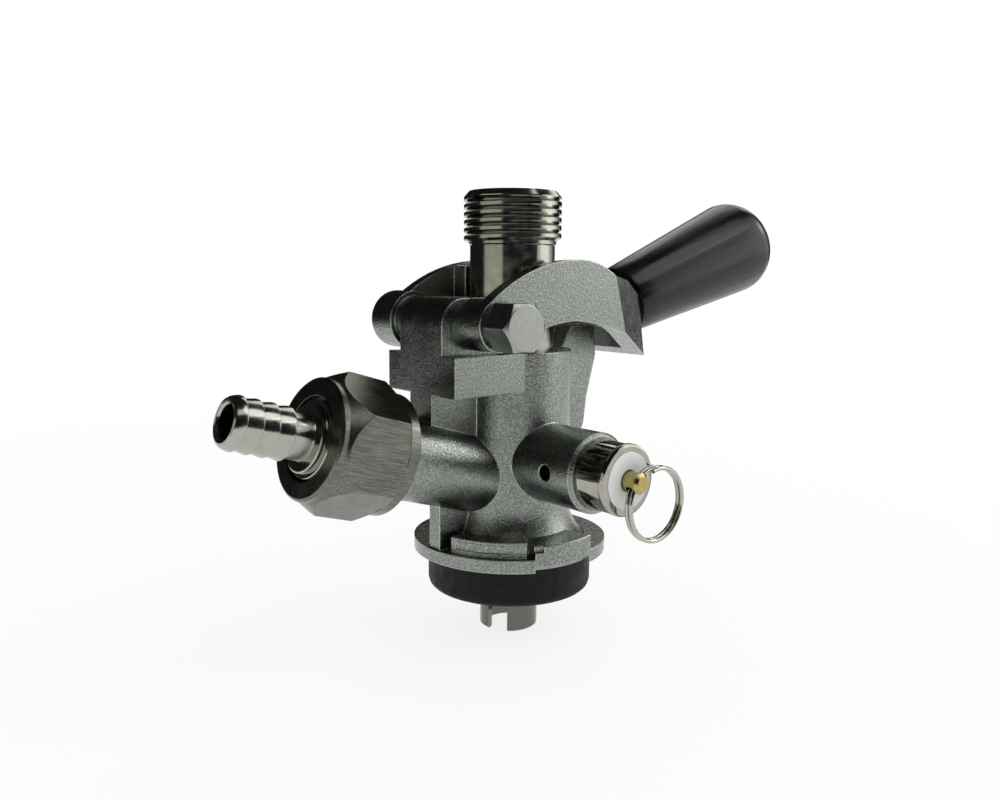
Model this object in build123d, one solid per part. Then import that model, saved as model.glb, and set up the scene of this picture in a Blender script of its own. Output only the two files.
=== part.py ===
from build123d import *
import os
from math import atan2, cos, degrees, radians, sin, sqrt, tan

# Lever handle keg coupler: cast body, sliding probe, forked lever, gas inlet and relief valve.
#
# Millimetres and degrees. +Z is the probe's axis, pointing away from the keg. The origin is on
# that axis at the underside of the bayonet flange. The gas inlet points to -X, the relief valve
# to -Y, and the lever's hinge runs along Y at the -X side, so the handle points to +X.

# ---- Keg seat ----
flange_r = 23.25
flange_top = 3.0
lug_start = 244.0
lug_sweep = 39.0
lug_inner_r = 21.0
lug_bottom = 1.45
lug_bottom_tilt = 2.6
lug_top = 6.2
lug_top_tilt = 2.5
band_r = 21.5
band_top = 6.5
band_start = 191.4
band_sweep = 48.6
band_frame = 0.35
band_frame_start = 4.0
band_frame_end = 1.0
band_frame_low = 0.9
band_frame_high = 0.7
notch_sweep = 6.0
notch_inset = 1.0
notch_depth = 1.6
seal_r = 19.8
seal_bottom = -9.4
seal_mouth_r = 9.3
seal_edge_r = 1.2
seal_rim_r = 20.4
seal_rim_t = 0.6
spigot_r = 13.0
spigot_bottom = -5.0

# ---- Body casting ----
barrel_r = 14.3
barrel_top = 48.1
flare_top = 12.0
flare_foot_r = 18.5
guide_bore_r = 10.05
guide_bore_bottom = 28.0
chamber_r = 11.2
chamber_bottom = 6.0
throat_r = 8.75

# ---- Lever hinge ----
hinge_x = -18.5
hinge_z = 54.8
block_front_x = -26.4
knuckle_back_x = -11.0
knuckle_top = 60.5
knuckle_corner_r = 6.0
knuckle_half = 7.9
knuckle_chamfer = 2.0
bar_back_x = -5.4
bar_half = 12.6
bar_bottom = 39.3
neck_half = 4.05
bolt_r = 3.0
hinge_clearance = 0.06

# ---- Rear post and gusset ----
post_half = 2.6
post_top_x = 25.3
post_top_z = 52.9
post_bulge_x = 26.1
post_bulge_z = 45.5
post_waist_x = 23.2
post_waist_z = 35.2
post_low_x = 22.3
post_low_z = 28.1
post_foot_x = 19.8
post_foot_z = 24.2
post_root_z = 19.5
gusset_half = 1.9
gusset_x = 22.6
gusset_rise = 3.0

# ---- Gas inlet ----
inlet_z = 16.0
inlet_tilt = 16.7
inlet_r = 9.3
inlet_bore_r = 4.5
inlet_length = 49.8
valve_pocket_r = 6.5
valve_pocket_depth = 9.0
gasket_t = 1.2
gasket_r = 9.2
nut_thread_relief = 0.15
nut_grip = 11.8
nut_flats = 26.6
nut_collar_r = 13.4
nut_collar_length = 2.4
nut_face_r = 12.55
nut_face_ring = 1.6
nut_lip = 3.0
nut_turn = 30.0
nut_back_bevel = 1.3
nut_front_bevel = 4.2
nut_hole_r = 9.0
nut_clearance = 0.1

# ---- Inlet valve ----
duckbill_clearance = 0.1
duckbill_flange_t = 1.5
duckbill_root_r = 4.2
duckbill_length = 6.0
duckbill_width = 7.0
duckbill_t = 1.6
duckbill_way_r = 3.0
duckbill_way_width = 5.4
duckbill_slit = 0.2

# ---- Hose tail ----
tail_collar_r = 9.35
tail_collar_t = 2.6
tail_body_r = 8.4
tail_body_length = 2.8
tail_step_r = 7.3
tail_step_length = 1.2
tail_neck_r = 4.9
tail_neck_length = 4.7
tail_bore_r = 3.5
barb_crest_r = 5.58
barb_root_r = 4.95
barb_land = 0.5
barb_count = 4
barb_pitch = 3.43
tail_nose = 2.41

# ---- Relief valve ----
relief_z = 22.8
relief_r = 9.06
relief_length = 29.9
relief_edge = 0.7
relief_bore_r = 6.6
relief_seat = 17.0
relief_port_r = 2.6
vent_y = 22.0
vent_r = 1.8
cap_spigot_start = 24.2
cap_spigot_r = 6.55
cap_r = 7.7
cap_rim_r = 7.9
cap_rim_start = 36.8
cap_face = 38.2
cap_bore_r = 5.2
cap_wall = 2.6
label_r = 6.2
label_t = 0.3
label_gap = 0.2
stem_r = 1.8
stem_head_r = 2.25
stem_head_length = 5.0
stem_end = 42.4
stem_clearance = 0.08
poppet_r = 4.9
poppet_t = 1.4
poppet_seal_t = 1.0
poppet_seal_r = 4.6
spring_r = 3.5
spring_wire_r = 0.4
spring_turns = 6
spring_slack = 1.6

# ---- Pull ring ----
ring_r = 7.95
ring_wire_r = 0.5
ring_pitch = 1.05
ring_turns = 2.05
ring_start = 0.0
ring_hole_r = 1.2
ring_hole_back = 2.0
ring_hole_lean = 43.0

# ---- Lever ----
yoke_half = 18.0
arm_inner = 14.8
ear_r = 5.65
ear_gap = 0.1
back_lean = 125.0
back_bow = 2.3
crown_x = 3.5
crown_z = 69.0
crown_bow = 1.16
shoulder_x = 16.5
shoulder_z = 65.5
peak_x = 26.0
peak_z = 64.5
yoke_end_x = 36.0
yoke_end_top = 60.5
yoke_end_bottom = 45.4
yoke_end_half = 9.9
yoke_end_z = 48.0
heel_x = 20.3
heel_z = 52.0
heel_bow = 0.49
brow_x = 4.0
brow_z = 55.4
brow_bow = 1.16
foot_lean = -52.0
yoke_wall_x = 32.0
yoke_inner_half = 6.5
taper_back = 1.0
boss_r = 7.6
boss_start = 5.0
boss_end = 9.2
pad_inner = 10.3
pad_left = 6.0
pad_round_r = 4.5
pad_rise = 4.0
pad_drop = 4.2
slot_clearance = 0.3
slot_before = 2.04
slot_after = 0.16
far_boss_r = 6.8
far_boss_drop = 0.8
far_boss_gap = 0.2
far_boss_end = 22.8
far_boss_edge = 2.6
head_collar_t = 1.4
head_collar_r = 4.4
head_end = 26.2
head_flats = 10.0
head_face_r = 4.76
head_chamfer = 0.8
bolt_recess = 1.5

# ---- Handle ----
handle_rise = 17.6
handle_x = 28.0
handle_z = 56.0
grip_start = 9.2
grip_length = 57.8
grip_root_r = 9.0
grip_end_r = 13.1
grip_dome = 9.0
stud_r = 4.0
stud_back = 4.4
stud_depth = 32.0
stud_fit = 0.03

# ---- Probe ----
outlet_r = 11.455
outlet_root_r = 10.29
outlet_pitch = 1.814
outlet_turns = 6
outlet_top = 84.7
outlet_chamfer = 1.1
tube_r = 9.97
tube_foot = 59.3
tube_groove = 2.3
tube_groove_r = 9.2
probe_shoulder = 34.0
tip_r = 7.04
tip_bottom = -20.0
probe_bore_r = 5.5
seat_z = -9.0
seat_r = 3.4
tip_pocket_r = 5.2
tip_pocket_depth = 9.6
tip_slot_width = 4.9
tip_slot_angle = 206.6
oring_wire = 0.9
oring_tops = (46.0, 41.0)
oring_squeeze = 0.02
trunnion_r = 2.5
trunnion_z = 63.5
trunnion_reach = 14.2
trunnion_seat = 8.6
tip_seal_r = 8.7
tip_seal_inner_r = 6.3
tip_seal_top = 0.0
tip_seal_bottom = -4.0
ball_r = 4.6
ball_gap = 0.02
retainer_bottom = 2.0
retainer_length = 4.0
retainer_bore_r = 4.3
retainer_bar = 1.6

# ---- Directions and places worked out from them ----
gasket_end = inlet_length + gasket_t
lip_back = gasket_end + tail_collar_t
nut_front = lip_back + nut_lip
nut_back = inlet_length - nut_grip
tail_body_end = lip_back + tail_body_length
tail_step_end = tail_body_end + tail_step_length
barb_first = tail_step_end + tail_neck_length
tail_tip = barb_first + (barb_count - 1) * barb_pitch + tail_nose
inlet_plane = Plane(origin=(0, 0, inlet_z), x_dir=(0, 1, 0),
                    z_dir=(-cos(radians(inlet_tilt)), 0, sin(radians(inlet_tilt))))
relief_plane = Plane(origin=(0, 0, relief_z), x_dir=(1, 0, 0), z_dir=(0, -1, 0))
handle_plane = Plane(origin=(handle_x, 0, handle_z), x_dir=(0, 1, 0),
                     z_dir=(cos(radians(handle_rise)), 0, sin(radians(handle_rise))))
hinge_plane = Plane(origin=(hinge_x, 0, hinge_z), x_dir=(1, 0, 0), z_dir=(0, -1, 0))


def turned(plane, points):
    """Solid of revolution about the plane's normal from (radius, height) points."""
    face = make_face(Plane.XZ * Polyline(*points, close=True))
    return plane * revolve(face, Axis.Z)


def rod(plane, radius, start, end):
    """Cylinder on the plane's normal from one distance to another."""
    return plane * Pos(0, 0, (start + end) / 2) * Cylinder(radius, end - start)


def hexagon(plane, flats, start, end, turn=0.0):
    """Hexagonal prism on the plane's normal, with a corner along the plane's x axis."""
    outline = RegularPolygon(flats / sqrt(3), 6, rotation=turn)
    return plane * Pos(0, 0, start) * extrude(outline, end - start)


def sector(inner, outer, start, sweep, bottom, top):
    """Arc-shaped block about Z between two radii, two angles and two heights."""
    ring = Circle(outer) - Circle(inner)
    wedge = make_face(Polyline(
        (0, 0),
        *[(2 * outer * cos(radians(start + sweep * i / 6)), 2 * outer * sin(radians(start + sweep * i / 6)))
          for i in range(7)],
        close=True))
    return Pos(0, 0, bottom) * extrude(ring & wedge, top - bottom)


def slab(profile, half):
    """Profile drawn in X and Z, as thick as twice half, centred on Y."""
    return extrude(Plane.XZ * profile, half, both=True)


def bowed(start, end, rise):
    """Arc whose middle stands off its chord by the rise, on the left of the way from start to end."""
    along = (end[0] - start[0], end[1] - start[1])
    share = rise / sqrt(along[0] ** 2 + along[1] ** 2)
    middle = ((start[0] + end[0]) / 2 - along[1] * share, (start[1] + end[1]) / 2 + along[0] * share)
    return ThreePointArc(start, middle, end)


def opposite(shape):
    """The shape and its copy half a turn round the probe's axis."""
    return shape + Rot(0, 0, 180) * shape


# ---- Body ----
def body_barrel():
    """Flange, flare and barrel in one turned form."""
    outline = Plane.XZ * (
        Polyline((0, 0), (flange_r, 0), (flange_r, flange_top), (flare_foot_r, flange_top))
        + RadiusArc((flare_foot_r, flange_top), (barrel_r, flare_top), 12.0)
        + Polyline((barrel_r, flare_top), (barrel_r, barrel_top), (0, barrel_top), (0, 0)))
    return revolve(make_face(outline), Axis.Z)


def hinge_block():
    """T-shaped block: round-cornered knuckle on a cross bar, with a neck down to the inlet."""
    inlet_top = inlet_z - block_front_x * tan(radians(inlet_tilt))
    width = bar_back_x - block_front_x
    middle = (bar_back_x + block_front_x) / 2
    bar = slab(Pos(middle, (bar_bottom + barrel_top) / 2) * Rectangle(width, barrel_top - bar_bottom), bar_half)
    neck = slab(Pos(block_front_x / 2, (inlet_top + bar_bottom) / 2)
                * Rectangle(-block_front_x, bar_bottom - inlet_top + 1), neck_half)
    corner_x = block_front_x + knuckle_corner_r
    corner_z = knuckle_top - knuckle_corner_r
    outline = make_face(
        Line((block_front_x, barrel_top - 1), (block_front_x, corner_z))
        + ThreePointArc((block_front_x, corner_z),
                        (corner_x - knuckle_corner_r * cos(radians(45)), corner_z + knuckle_corner_r * sin(radians(45))),
                        (corner_x, knuckle_top))
        + Polyline((corner_x, knuckle_top), (knuckle_back_x - knuckle_chamfer, knuckle_top),
                   (knuckle_back_x, knuckle_top - knuckle_chamfer), (knuckle_back_x, barrel_top - 1),
                   (block_front_x, barrel_top - 1)))
    return bar + neck + slab(outline, knuckle_half)


def rear_post():
    """Upright behind the barrel, between the lever's arms."""
    outline = make_face(Polyline(
        (0, post_root_z), (barrel_r, post_root_z), (post_foot_x, post_foot_z), (post_low_x, post_low_z),
        (post_waist_x, post_waist_z), (post_bulge_x, post_bulge_z), (post_top_x, post_top_z),
        (barrel_r + 3, post_top_z), (barrel_r, barrel_top), (0, barrel_top), close=True))
    return slab(outline, post_half)


def gusset():
    """Web between the flange and the gas inlet."""
    outline = make_face(Polyline(
        (0, 1), (-gusset_x, 1), (-gusset_x, inlet_z + gusset_rise), (0, inlet_z), close=True))
    return slab(outline, gusset_half)


def tilted_top(height, tilt):
    """Space above a plane that rises round the lug."""
    middle = lug_start + lug_sweep / 2
    return Rot(0, 0, middle) * Pos((flange_r + lug_inner_r) / 2, 0, height) * Rot(tilt, 0, 0) * Pos(
        0, 0, flange_r) * Box(2 * flange_r, 3 * flange_r, 2 * flange_r)


def bayonet_lug():
    """Raised lug whose underside and top both rise round the flange."""
    block = sector(barrel_r + 2, flange_r, lug_start, lug_sweep, 0, 12)
    under = sector(barrel_r, flange_r + 2, lug_start - 2, lug_sweep + 4, -2, 12) - tilted_top(
        lug_bottom, lug_bottom_tilt)
    notch = sector(flange_r - notch_inset, flange_r + 1, lug_start - 1, notch_sweep, lug_top - notch_depth, 13)
    return block - tilted_top(lug_top, lug_top_tilt) - under - notch


def lug_space():
    """Space cut through the flange where the lug goes."""
    return sector(lug_inner_r, flange_r + 2, lug_start, lug_sweep, -1, 12)


def band():
    """Raised arc beside the gusset, with a sunk frame on its face."""
    solid = sector(barrel_r + 2, band_r, band_start, band_sweep, flange_top - 1, band_top)
    frame = sector(band_r - band_frame, band_r + 1, band_start + band_frame_start,
                   band_sweep - band_frame_start - band_frame_end, flange_top + band_frame_low,
                   band_top - band_frame_high)
    return solid - frame


def body_casting():
    """The whole casting with its bores."""
    solid = body_barrel() - opposite(lug_space())
    solid += opposite(bayonet_lug() + band())
    solid += hinge_block() + rear_post() + gusset()
    solid += rod(inlet_plane, inlet_r, 0, inlet_length)
    solid += turned(relief_plane, [
        (0, 0), (relief_r, 0), (relief_r, relief_length - relief_edge), (relief_r - relief_edge, relief_length),
        (0, relief_length)])
    solid -= rod(Plane.XY, seal_rim_r, -1, seal_rim_t)
    solid += rod(Plane.XY, spigot_r, spigot_bottom, 1)
    solid -= rod(Plane.XY, guide_bore_r, guide_bore_bottom, barrel_top + 1)
    solid -= rod(Plane.XY, chamber_r, chamber_bottom, guide_bore_bottom)
    solid -= rod(Plane.XY, throat_r, spigot_bottom - 1, chamber_bottom + 1)
    solid -= rod(hinge_plane, bolt_r + hinge_clearance, -knuckle_half - 1, knuckle_half + 1)
    solid -= rod(inlet_plane, inlet_bore_r, chamber_r - 2, inlet_length + 1)
    solid -= rod(inlet_plane, valve_pocket_r, inlet_length - valve_pocket_depth, inlet_length + 1)
    solid -= rod(relief_plane, relief_port_r, chamber_r - 2, relief_seat + 1)
    solid -= rod(relief_plane, relief_bore_r, relief_seat, relief_length + 1)
    vent = Plane(origin=(0, -vent_y, relief_z), x_dir=(0, 1, 0), z_dir=(-1, 0, 0))
    solid -= rod(vent, vent_r, 0, relief_r + 1)
    return solid


def bottom_seal():
    """Rubber cup on the spigot, with a rim in the flange's recess and the mouth the probe comes through."""
    return turned(Plane.XY, [
        (seal_mouth_r, seal_bottom), (seal_r - seal_edge_r, seal_bottom), (seal_r, seal_bottom + seal_edge_r),
        (seal_r, 0), (seal_rim_r, 0), (seal_rim_r, seal_rim_t), (spigot_r, seal_rim_t),
        (spigot_r, spigot_bottom), (seal_mouth_r, spigot_bottom)])


# ---- Gas inlet ----
def union_nut():
    """Hexagon nut with a round collar behind, a chamfered front and a lip over the hose tail."""
    corner = nut_flats / sqrt(3)
    ring_end = nut_front - nut_face_ring
    prism = hexagon(inlet_plane, nut_flats, nut_back + nut_collar_length - 0.4, ring_end, nut_turn)
    collar_end = nut_back + nut_collar_length
    rounding = turned(inlet_plane, [
        (0, nut_back), (nut_collar_r, nut_back), (nut_collar_r, collar_end), (corner, collar_end + nut_back_bevel),
        (corner, ring_end - nut_front_bevel), (nut_face_r + 0.35, ring_end), (0, ring_end)])
    solid = prism & rounding
    solid += rod(inlet_plane, nut_collar_r, nut_back, nut_back + nut_collar_length)
    solid += turned(inlet_plane, [
        (0, ring_end - 1), (nut_face_r + 0.35, ring_end - 1), (nut_face_r + 0.35, nut_front - 0.5),
        (nut_face_r - 0.15, nut_front), (0, nut_front)])
    bore = inlet_r + nut_clearance + nut_thread_relief
    solid -= rod(inlet_plane, bore, nut_back, nut_front - nut_lip)
    solid -= rod(inlet_plane, nut_hole_r, nut_front - nut_lip, nut_front)
    return solid


def hose_tail():
    """Collar held by the nut, stepped shoulder and a barbed stem."""
    points = [
        (tail_bore_r, gasket_end), (tail_collar_r, gasket_end), (tail_collar_r, lip_back),
        (tail_body_r, lip_back), (tail_body_r, tail_body_end), (tail_step_r, tail_body_end),
        (tail_step_r, tail_step_end), (tail_neck_r, tail_step_end), (tail_neck_r, barb_first)]
    for i in range(barb_count):
        back = barb_first + i * barb_pitch
        points += [(barb_crest_r, back), (barb_crest_r, back + barb_land)]
        if i < barb_count - 1:
            points.append((barb_root_r, back + barb_pitch))
    points += [(barb_crest_r - 0.25, tail_tip - 0.9), (barb_root_r, tail_tip - 0.2), (barb_root_r - 0.6, tail_tip),
               (tail_bore_r + 0.5, tail_tip), (tail_bore_r, tail_tip - 0.5)]
    return turned(inlet_plane, points)


def tailpiece_gasket():
    """Flat washer between the inlet's end and the hose tail."""
    return rod(inlet_plane, gasket_r, inlet_length, inlet_length + gasket_t) - rod(
        inlet_plane, inlet_bore_r, inlet_length, inlet_length + gasket_t)


def inlet_duckbill():
    """Rubber one-way valve: a flange and a bill that closes to a slit."""
    flange = rod(inlet_plane, valve_pocket_r - duckbill_clearance, inlet_length - duckbill_flange_t, inlet_length)
    root = inlet_plane * Pos(0, 0, inlet_length - duckbill_flange_t)
    mouth = root * Pos(0, 0, -duckbill_length)
    bill = loft([root * Circle(duckbill_root_r), mouth * Rectangle(duckbill_width, duckbill_t)])
    way = loft([root * Pos(0, 0, duckbill_flange_t) * Circle(duckbill_way_r),
                mouth * Rectangle(duckbill_way_width, duckbill_slit)])
    return flange + bill - way


# ---- Relief valve ----
def relief_cap():
    """Cap screwed into the relief tube, with a rim round its face."""
    hole = stem_head_r + stem_clearance
    return turned(relief_plane, [
        (cap_bore_r, cap_spigot_start), (cap_spigot_r, cap_spigot_start), (cap_spigot_r, relief_length),
        (cap_r, relief_length), (cap_r, cap_rim_start), (cap_rim_r, cap_rim_start + 0.3),
        (cap_rim_r, cap_face - 0.6), (cap_rim_r - 0.7, cap_face), (hole, cap_face),
        (hole, cap_face - cap_wall), (cap_bore_r, cap_face - cap_wall)])


def relief_label():
    """Bare round label on the cap's face."""
    return rod(relief_plane, label_r, cap_face, cap_face + label_t) - rod(
        relief_plane, stem_head_r + label_gap, cap_face, cap_face + label_t)


def relief_stem():
    """Pull pin with the poppet disc at its inner end and a cross hole for the ring."""
    back = relief_seat + poppet_seal_t
    head_start = stem_end - stem_head_length
    solid = turned(relief_plane, [
        (0, back), (poppet_r, back), (poppet_r, back + poppet_t), (stem_r, back + poppet_t),
        (stem_r, head_start), (stem_head_r, head_start + 0.3), (stem_head_r, stem_end - 0.6),
        (stem_head_r - 0.6, stem_end), (0, stem_end)])
    solid -= rod(ring_hole_plane(), ring_hole_r, -stem_head_r - 1, stem_head_r + 1)
    return solid


def relief_poppet_seal():
    """Rubber disc that closes the port."""
    return rod(relief_plane, poppet_seal_r, relief_seat, relief_seat + poppet_seal_t)


def relief_spring():
    """Spring between the poppet and the cap's inner face."""
    start = relief_seat + poppet_seal_t + poppet_t + spring_wire_r + 0.01
    end = cap_face - cap_wall - spring_wire_r - spring_slack
    path = Helix(pitch=(end - start) / spring_turns, height=end - start, radius=spring_r)
    section = Plane(origin=path @ 0, z_dir=path % 0) * Circle(spring_wire_r)
    return relief_plane * Pos(0, 0, start) * sweep(section, path)


def ring_hole_plane():
    """Plane whose normal runs along the pull pin's cross hole."""
    lean = radians(ring_hole_lean)
    return Plane(origin=(0, -(stem_end - ring_hole_back), relief_z), x_dir=(cos(lean), 0, -sin(lean)),
                 z_dir=(sin(lean), 0, cos(lean)))


def relief_ring():
    """Split finger ring of two close coils through the pull pin's cross hole."""
    lean = radians(ring_hole_lean)
    height = ring_pitch * ring_turns
    centre = (ring_r * cos(lean), -(stem_end - ring_hole_back), relief_z - ring_r * sin(lean))
    plane = Plane(origin=centre, x_dir=(cos(lean), 0, -sin(lean)), z_dir=(0, -1, 0))
    path = Helix(pitch=ring_pitch, height=height, radius=ring_r)
    section = Plane(origin=path @ 0, z_dir=path % 0) * Circle(ring_wire_r)
    return plane * Pos(0, 0, -height / 2) * Rot(0, 0, ring_start) * sweep(section, path)


# ---- Lever ----
def yoke_profile():
    """Side view of an arm: crescent from the hinge end to the end wall."""
    back = (hinge_x + ear_r * cos(radians(back_lean)), hinge_z + ear_r * sin(radians(back_lean)))
    foot = (hinge_x + ear_r * cos(radians(foot_lean)), hinge_z + ear_r * sin(radians(foot_lean)))
    crown = (crown_x, crown_z)
    shoulder = (shoulder_x, shoulder_z)
    heel = (heel_x, heel_z)
    brow = (brow_x, brow_z)
    outline = (
        bowed(back, crown, back_bow) + bowed(crown, shoulder, crown_bow)
        + Polyline(shoulder, (peak_x, peak_z), (yoke_end_x, yoke_end_top), (yoke_end_x, yoke_end_bottom), heel)
        + bowed(heel, brow, -heel_bow) + bowed(brow, foot, -brow_bow)
        + Polyline(foot, (hinge_x, hinge_z), back))
    return make_face(outline) + Pos(hinge_x, hinge_z) * Circle(ear_r)


def beyond_facet():
    """Space outside the slanting flat that narrows the yoke from the arm's face to the handle."""
    upper = Vector(shoulder_x, -yoke_half, shoulder_z)
    lower = Vector(heel_x, -yoke_half, heel_z)
    end = Vector(yoke_end_x, -yoke_end_half, yoke_end_z)
    outwards = (lower - upper).cross(end - upper)
    reach = 4 * yoke_half
    return Plane(origin=upper, x_dir=lower - upper, z_dir=outwards) * Pos(0, 0, reach / 2) * Box(
        2 * reach, 2 * reach, reach)


def yoke_inside():
    """Space between the arms, which narrows towards the end wall."""
    taper_x = shoulder_x - taper_back
    start = 2 * hinge_x
    plan = make_face(Polyline(
        (start, -arm_inner), (taper_x, -arm_inner), (yoke_wall_x, -yoke_inner_half),
        (yoke_wall_x, yoke_inner_half), (taper_x, arm_inner), (start, arm_inner), close=True))
    return extrude(plan, crown_z + 10)


def trunnion_pad():
    """Pad on an arm's inner wall, round under the trunnion and square above."""
    outline = Pos(0, trunnion_z) * Circle(pad_round_r)
    outline += Pos((pad_round_r - pad_left) / 2, trunnion_z + pad_rise / 2) * Rectangle(
        pad_round_r + pad_left, pad_rise)
    outline += Pos(-pad_left / 2, trunnion_z - pad_drop / 2) * Rectangle(pad_left, pad_drop)
    return Pos(0, -pad_inner, 0) * extrude(Plane.XZ * outline, arm_inner - pad_inner + 0.5)


def trunnion_slot():
    """Slot in both pads, along the line to the hinge."""
    rise = atan2(trunnion_z - hinge_z, -hinge_x)
    reach = sqrt(hinge_x ** 2 + (trunnion_z - hinge_z) ** 2)
    middle = reach + (slot_after - slot_before) / 2
    slot = SlotCenterToCenter(slot_before + slot_after, 2 * (trunnion_r + slot_clearance), rotation=degrees(rise))
    return slab(Pos(hinge_x + middle * cos(rise), hinge_z + middle * sin(rise)) * slot, trunnion_reach + 0.3)


def far_boss():
    """Round-ended boss on the far arm, a little below the bolt that it is tapped for."""
    inner_r = far_boss_r - far_boss_edge
    start = -bar_half - far_boss_gap
    edge = -far_boss_end + far_boss_edge
    bend = far_boss_edge * cos(radians(45))
    outline = Plane.XZ * (
        Polyline((0, start), (far_boss_r, start), (far_boss_r, edge))
        + ThreePointArc((far_boss_r, edge), (inner_r + bend, edge - bend), (inner_r, -far_boss_end))
        + Polyline((inner_r, -far_boss_end), (0, -far_boss_end), (0, start)))
    return Pos(0, 0, -far_boss_drop) * hinge_plane * revolve(make_face(outline), Axis.Z)


def lever_yoke():
    """Forked casting with ears, arms, inner pads and the handle's end wall."""
    facet = beyond_facet()
    solid = slab(yoke_profile(), yoke_half) - facet - mirror(facet, Plane.XZ) - yoke_inside()
    ear = rod(hinge_plane, ear_r, knuckle_half + ear_gap, yoke_half)
    solid += ear + mirror(ear, Plane.XZ) + far_boss()
    solid += rod(handle_plane, boss_r, boss_start, boss_end)
    pad = trunnion_pad()
    solid += pad + mirror(pad, Plane.XZ)
    solid -= trunnion_slot()
    solid -= rod(hinge_plane, bolt_r + stud_fit, -far_boss_end - 1, yoke_half + 1)
    solid -= rod(handle_plane, stud_r + stud_fit, -10, 20)
    return solid


def hinge_bolt():
    """Bolt with a long hexagon head, screwed into the far arm's boss."""
    head_start = yoke_half + head_collar_t
    corner = head_flats / sqrt(3)
    solid = rod(hinge_plane, bolt_r, -far_boss_end + bolt_recess, yoke_half)
    solid += rod(hinge_plane, head_collar_r, yoke_half, head_start)
    head = hexagon(hinge_plane, head_flats, head_start, head_end)
    solid += head & turned(hinge_plane, [
        (0, head_start), (corner, head_start), (corner, head_end - head_chamfer), (head_face_r, head_end),
        (0, head_end)])
    return solid


def handle_stud():
    """Threaded stud between the yoke and the grip."""
    return rod(handle_plane, stud_r, stud_back, grip_start + stud_depth)


def handle_grip():
    """Tapered plastic grip with a rounded free end."""
    end = grip_start + grip_length
    outline = Plane.XZ * (
        Polyline((0, grip_start), (grip_root_r - 0.6, grip_start), (grip_root_r, grip_start + 0.6),
                 (grip_end_r, end - grip_dome))
        + ThreePointArc((grip_end_r, end - grip_dome), (grip_end_r * 0.78, end - grip_dome * 0.3),
                        (grip_end_r * 0.35, end - grip_dome * 0.03))
        + Polyline((grip_end_r * 0.35, end - grip_dome * 0.03), (0, end), (0, grip_start)))
    solid = handle_plane * revolve(make_face(outline), Axis.Z)
    return solid - rod(handle_plane, stud_r + stud_fit, grip_start - 1, grip_start + stud_depth)


# ---- Probe ----
def outlet_thread_points():
    """Ridges of the outlet thread from the top down."""
    points = []
    flat = outlet_pitch / 8
    rise = outlet_pitch / 2 - flat
    top = outlet_top - outlet_chamfer - flat
    for i in range(outlet_turns):
        crest = top - i * outlet_pitch
        points += [(outlet_r, crest), (outlet_r, crest - flat), (outlet_root_r, crest - flat - rise),
                   (outlet_root_r, crest - 2 * flat - rise)]
    return points


def probe_tube():
    """Probe from the threaded beer outlet to the slotted tip."""
    points = [(probe_bore_r, outlet_top), (outlet_root_r, outlet_top)]
    points += outlet_thread_points()
    points += [(tube_r, points[-1][1] - 0.4), (tube_r, tube_foot), (tube_groove_r, tube_foot - 0.3),
               (tube_groove_r, tube_foot - tube_groove), (tube_r, tube_foot - tube_groove - 0.3)]
    groove_r = guide_bore_r - oring_squeeze - 2 * oring_wire - 0.02
    for top in oring_tops:
        points += [(tube_r, top), (groove_r, top), (groove_r, top - 2.3), (tube_r, top - 2.3)]
    points += [(tube_r, probe_shoulder), (tip_r, probe_shoulder - 1.5), (tip_r, tip_seal_top),
               (tip_seal_inner_r, tip_seal_top), (tip_seal_inner_r, tip_seal_bottom), (tip_r, tip_seal_bottom),
               (tip_r, tip_bottom + 0.4), (tip_r - 0.4, tip_bottom), (tip_pocket_r, tip_bottom),
               (tip_pocket_r, tip_bottom + tip_pocket_depth), (seat_r, tip_bottom + tip_pocket_depth),
               (seat_r, seat_z), (probe_bore_r, seat_z)]
    solid = turned(Plane.XY, points)
    slot_height = tip_pocket_depth + 1
    solid -= Rot(0, 0, tip_slot_angle) * Pos(tip_r, 0, tip_bottom + slot_height / 2 - 1) * Box(
        2 * tip_r, tip_slot_width, slot_height)
    socket = Plane(origin=(0, 0, trunnion_z), x_dir=(1, 0, 0), z_dir=(0, -1, 0))
    solid -= rod(socket, trunnion_r + 0.01, trunnion_seat, trunnion_reach)
    solid -= rod(socket, trunnion_r + 0.01, -trunnion_reach, -trunnion_seat)
    return solid


def probe_trunnions():
    """Pins pressed into the probe's sides for the lever's slots."""
    socket = Plane(origin=(0, 0, trunnion_z), x_dir=(1, 0, 0), z_dir=(0, -1, 0))
    return [rod(socket, trunnion_r, trunnion_seat, trunnion_reach),
            rod(socket, trunnion_r, -trunnion_reach, -trunnion_seat)]


def probe_oring(top):
    """O-ring in one of the probe's grooves."""
    centre = guide_bore_r - oring_squeeze - oring_wire
    return Pos(0, 0, top - 1.15) * Torus(centre, oring_wire)


def probe_tip_seal():
    """Rubber ring that closes the throat and seals the keg's valve."""
    return turned(Plane.XY, [
        (tip_seal_inner_r, tip_seal_top), (tip_seal_r - 0.8, tip_seal_top), (tip_seal_r, tip_seal_top - 0.8),
        (tip_seal_r, tip_seal_bottom + 0.8), (tip_seal_r - 0.8, tip_seal_bottom),
        (tip_seal_inner_r, tip_seal_bottom)])


def check_ball():
    """Ball on its seat inside the probe."""
    return Pos(0, 0, seat_z + sqrt(ball_r ** 2 - seat_r ** 2) + ball_gap) * Sphere(ball_r)


def ball_retainer():
    """Ring with a cross bar that keeps the ball near its seat."""
    ring = rod(Plane.XY, probe_bore_r, retainer_bottom, retainer_bottom + retainer_length)
    ring -= rod(Plane.XY, retainer_bore_r, retainer_bottom, retainer_bottom + retainer_length)
    bar = Pos(0, 0, retainer_bottom + retainer_bar / 2) * Box(2 * retainer_bore_r + 0.4, retainer_bar, retainer_bar)
    return ring + bar


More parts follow.
